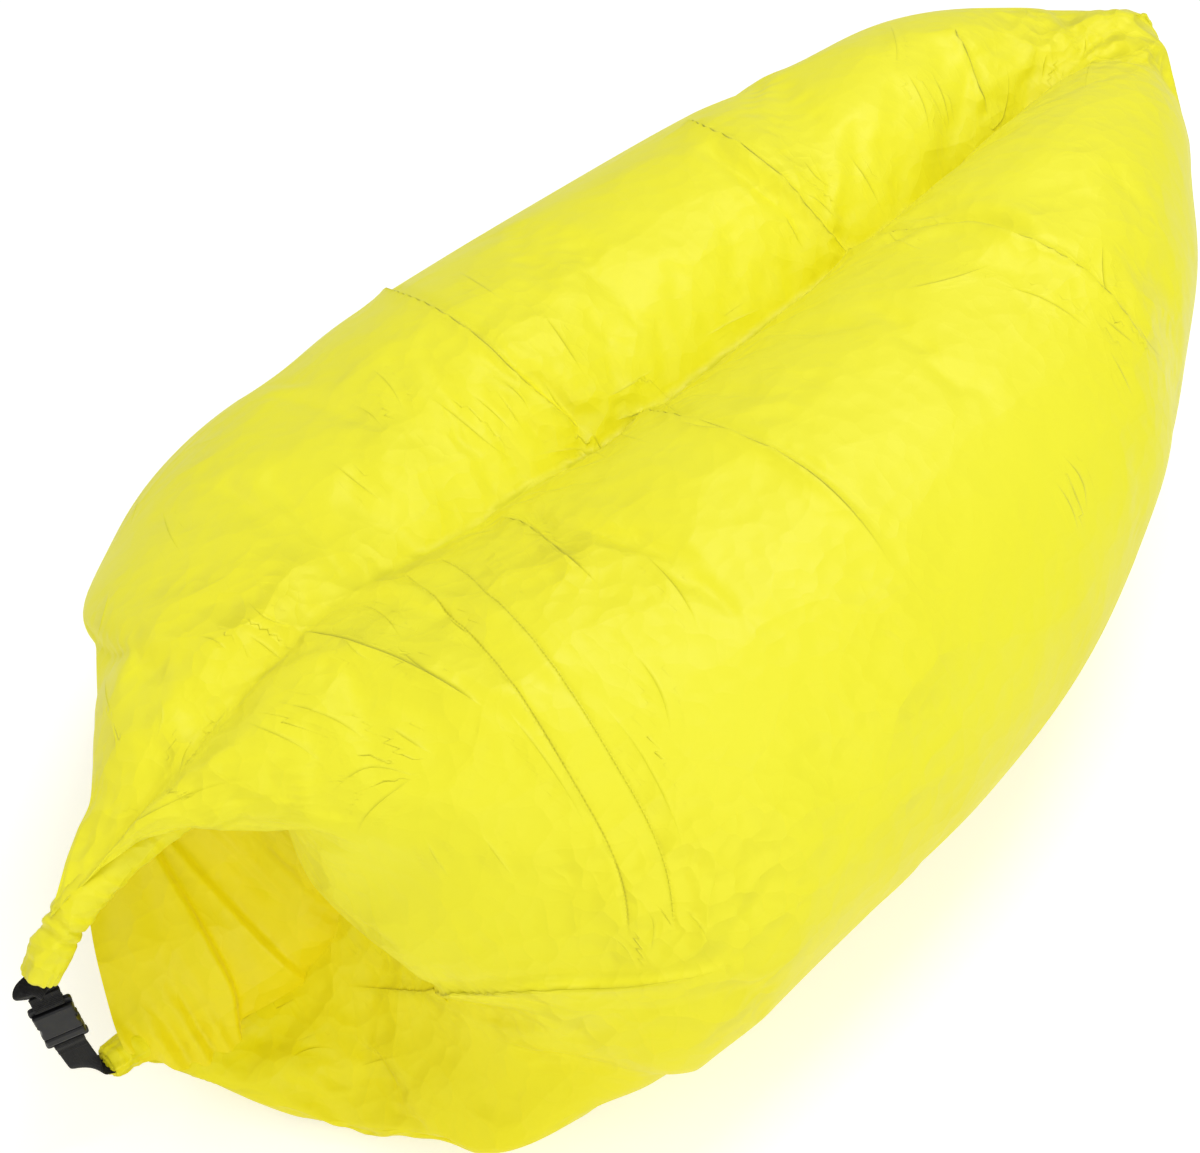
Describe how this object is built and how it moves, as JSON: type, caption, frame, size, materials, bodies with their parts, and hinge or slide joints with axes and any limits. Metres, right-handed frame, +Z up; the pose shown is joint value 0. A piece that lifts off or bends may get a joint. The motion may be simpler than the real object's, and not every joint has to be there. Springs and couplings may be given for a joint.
{
  "type": "inflatable air lounger",
  "caption": "Inflatable air lounger: two long air chambers side by side, the rolled mouth bent into a loop and held by a side-release buckle on webbing.",
  "frame": {"origin": "on the floor under the middle of the whole length and width", "axes": "+Y along the lounger from the foot end with the loop and buckle to the head end, +Z up, +X to the right-hand chamber when looking towards the head"},
  "size_m": [0.8643, 1.6102, 0.4667],
  "materials": {
    "bag_cloth": "satin sheen on thin coated nylon taffeta, lemon yellow",
    "bladder_film": "soft milky polyethylene film",
    "strip_plastic": "plain flat plastic strip",
    "webbing": "black woven polypropylene webbing",
    "buckle_plastic": "moulded black acetal, fine satin"
  },
  "bodies": {
    "bag": {"right_main_panel": "bag_cloth", "left_main_panel": "bag_cloth", "right_foot_panel": "bag_cloth", "left_foot_panel": "bag_cloth", "right_air_bladder": "bladder_film", "left_air_bladder": "bladder_film", "upper_spine_seam": "bag_cloth", "lower_spine_seam": "bag_cloth", "head_seam": "bag_cloth", "mouth_roll": "bag_cloth", "outer_mouth_strip": "strip_plastic", "inner_mouth_strip": "strip_plastic", "socket_webbing": "webbing", "buckle_socket": "buckle_plastic"},
    "prong_half": {"prong_base": "buckle_plastic", "prong_webbing": "webbing"},
    "front_catch": {"front_prong": "buckle_plastic"},
    "rear_catch": {"rear_prong": "buckle_plastic"}
  },
  "joints": [
    {"name": "buckle_release", "type": "slide", "parent": "bag", "child": "prong_half", "axis": [0, 0, -1], "range_m": [0, 0.005], "stiffness_N_per_m": 200, "deforming": ["prong_webbing"]},
    {"name": "front_prong_squeeze", "type": "hinge", "parent": "prong_half", "child": "front_catch", "pos_m": [-0.00363, -0.79496, 0.162], "axis": [0.9397, -0.342, 0], "range_deg": [-12.5, 0]},
    {"name": "rear_prong_squeeze", "type": "hinge", "parent": "prong_half", "child": "rear_catch", "pos_m": [0.00363, -0.77504, 0.162], "axis": [0.9397, -0.342, 0], "range_deg": [0, 12.5]}
  ],
  "couplings": [
    {"joint": "front_prong_squeeze", "follows": "buckle_release", "rad_per_m": -43.5},
    {"joint": "rear_prong_squeeze", "follows": "buckle_release", "rad_per_m": 43.5}
  ]
}
